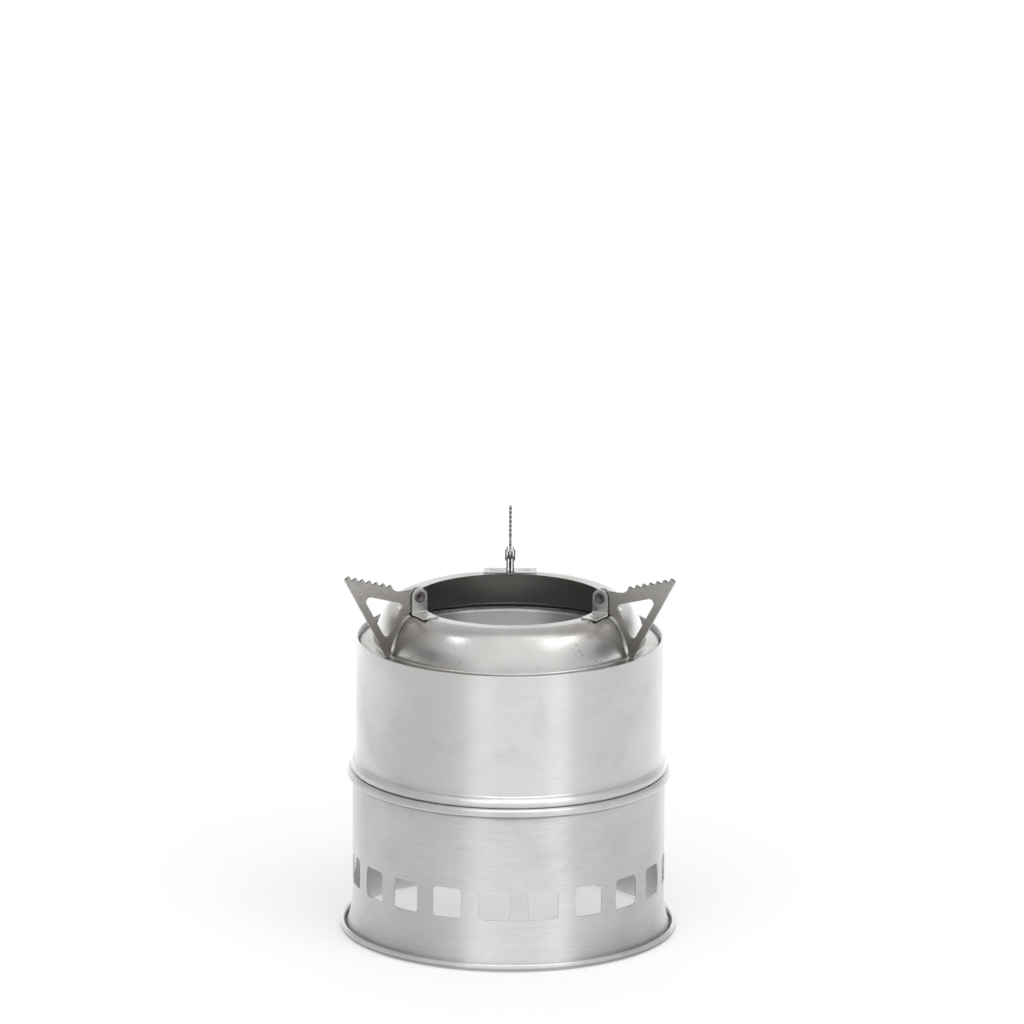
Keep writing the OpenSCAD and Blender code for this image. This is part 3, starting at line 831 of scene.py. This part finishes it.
# How bright the studio is all round, as (degrees from the camera's side, level)
AROUND_LOW = (
    (-180, 1.6), (-150, 1.6), (-128, 1.6), (-105, 1.55), (-80, 1.2), (-52, 0.85), (-21, 0.5), (0, 0.45),
    (18, 0.5), (40, 0.68), (60, 1.25), (86, 1.55), (110, 1.7), (128, 1.7), (180, 1.6),
)
AROUND_HIGH = (
    (-180, 1.3), (-155, 1.1), (-130, 0.3), (-80, 0.25), (-48, 0.65), (-23, 1.25), (0, 1.15), (20, 1.2),
    (38, 1.3), (60, 0.85), (90, 0.25), (130, 0.3), (155, 1.1), (180, 1.3),
)
AROUND_TOP = (
    (-180, 0.85), (-152, 0.75), (-130, 0.7), (-100, 0.65), (-75, 0.75), (-45, 1.1), (0, 1.35), (45, 1.3),
    (75, 0.85), (100, 0.7), (130, 0.7), (152, 0.75), (180, 0.85),
)
# Sines of the elevations between which low turns to high, and high to top
HIGH_FROM, HIGH_TO = -0.02, 0.1
TOP_FROM, TOP_TO = 0.26, 0.44
LAMP_DISTANCE = 1800.0


def make_floor():
    material = bpy.data.materials.new("floor")
    material.use_nodes = True
    material.node_tree.nodes.clear()
    tree = Tree(material.node_tree)
    path = tree.node("LightPath").outputs
    seen = tree.math("MAXIMUM", path["Is Camera Ray"], path["Is Transmission Ray"])
    mirrored = tree.math("MULTIPLY", path["Is Glossy Ray"], tree.math("SUBTRACT", 1.0, seen))
    place = tree.node("TexCoord").outputs["Object"]
    azimuth = tree.azimuth(place)[0]
    length = tree.node("VectorMath", operation="LENGTH")
    tree.link(place, length.inputs[0])
    far = tree.span(length.outputs["Value"], FLOOR_NEAR, FLOOR_FAR, kind="SMOOTHSTEP")
    diffuse = tree.node("BsdfDiffuse")
    diffuse.inputs["Color"].default_value = (FLOOR_COLOUR,) * 3 + (1,)
    lift = tree.node("Emission")
    inner, outer = UNDER_RADIUS * MM, (UNDER_RADIUS + UNDER_EDGE) * MM
    # Painted light: the camera sees the floor glow more inside the base ring
    glow = tree.span(length.outputs["Value"], inner, outer, UNDER_GLOW, FLOOR_LIFT)
    lifted = tree.math("ADD", tree.math("MULTIPLY", seen, glow), tree.math("MULTIPLY", mirrored, MIRROR_LIFT))
    tree.link(lifted, lift.inputs["Strength"])
    near = tree.node("AddShader")
    tree.link(diffuse.outputs[0], near.inputs[0])
    tree.link(lift.outputs[0], near.inputs[1])
    white = tree.node("Emission")
    level = tree.math("ADD", seen, tree.math("MULTIPLY", mirrored, tree.levels(azimuth, AROUND_LOW)))
    tree.link(level, white.inputs["Strength"])
    mix = tree.node("MixShader")
    tree.link(tree.math("MULTIPLY", far, tree.math("MAXIMUM", seen, mirrored)), mix.inputs[0])
    tree.link(near.outputs[0], mix.inputs[1])
    tree.link(white.outputs[0], mix.inputs[2])
    tree.link(mix.outputs[0], tree.node("OutputMaterial").inputs["Surface"])
    mesh = bmesh.new()
    bmesh.ops.create_grid(mesh, x_segments=1, y_segments=1, size=FLOOR_SIZE / 2 * MM)
    data = bpy.data.meshes.new("floor")
    mesh.to_mesh(data)
    mesh.free()
    data.materials.append(material)
    floor = bpy.data.objects.new("floor", data)
    floor.location.z = -0.1 * MM
    bpy.context.scene.collection.objects.link(floor)


def make_world():
    """White to the camera. The light round the stove has bright and dim sides, and dims upwards behind it."""
    world = bpy.data.worlds.new("studio")
    bpy.context.scene.world = world
    world.use_nodes = True
    tree = Tree(world.node_tree)
    background = world.node_tree.nodes["Background"]
    background.inputs["Color"].default_value = (1, 1, 1, 1)
    azimuth, height = tree.azimuth(tree.node("TexCoord").outputs["Generated"])
    low, high = tree.levels(azimuth, AROUND_LOW), tree.levels(azimuth, AROUND_HIGH)
    up = tree.span(height, HIGH_FROM, HIGH_TO, kind="SMOOTHSTEP")
    around = tree.math("ADD", low, tree.math("MULTIPLY", up, tree.math("SUBTRACT", high, low)))
    over = tree.span(height, TOP_FROM, TOP_TO, kind="SMOOTHSTEP")
    top = tree.levels(azimuth, AROUND_TOP)
    around = tree.math("ADD", around, tree.math("MULTIPLY", over, tree.math("SUBTRACT", top, around)))
    path = tree.node("LightPath").outputs
    seen = tree.math("MAXIMUM", path["Is Camera Ray"], path["Is Transmission Ray"])
    level = tree.math("ADD", seen, tree.math("MULTIPLY", around, tree.math("SUBTRACT", 1.0, seen)))
    tree.link(level, background.inputs["Strength"])


def make_lamp(name, azimuth, elevation, size, glow, only=None):
    """Soft box that shines glow times as bright as white paper, on some pieces only if they are given."""
    data = bpy.data.lights.new(name, "AREA")
    data.shape = "RECTANGLE"
    data.size, data.size_y = (side * MM for side in size)
    data.energy = glow * math.pi * data.size * data.size_y
    a, e = math.radians(azimuth), math.radians(elevation)
    away = Vector((math.sin(a) * math.cos(e), -math.cos(a) * math.cos(e), math.sin(e)))
    lamp = bpy.data.objects.new(name, data)
    lamp.location = (VIEW_CENTRE + away * LAMP_DISTANCE) * MM
    lamp.rotation_euler = away.to_track_quat("Z", "Y").to_euler()
    bpy.context.scene.collection.objects.link(lamp)
    if only:
        lamp.light_linking.receiver_collection = only


def make_lamps():
    shells = bpy.data.collections.new("brushed_shells")
    for name in ("base_ring", "chamber_outer_wall", "chamber_inner_wall", "fire_pan_shell"):
        shells.objects.link(bpy.data.objects[name])
    make_lamp("strip_right", 38, 25, (520, 950), 2.1, shells)
    make_lamp("strip_left", -23, 25, (500, 950), 1.7, shells)
    make_lamp("front_top", 6, 46, (1100, 600), 2.7, shells)
    polished = bpy.data.collections.new("polished")
    polished.objects.link(bpy.data.objects["pot_ring_shell"])
    make_lamp("dome_right", 56, 40, (1000, 420), 2.1, polished)
    make_lamp("dome_left", -56, 40, (420, 320), 1.7, polished)
    make_lamp("key", 50, 60, (700, 500), 0.8)


bpy.context.scene.view_settings.view_transform = "Standard"
make_camera()
make_shells()
make_fittings()
make_floor()
make_world()
make_lamps()
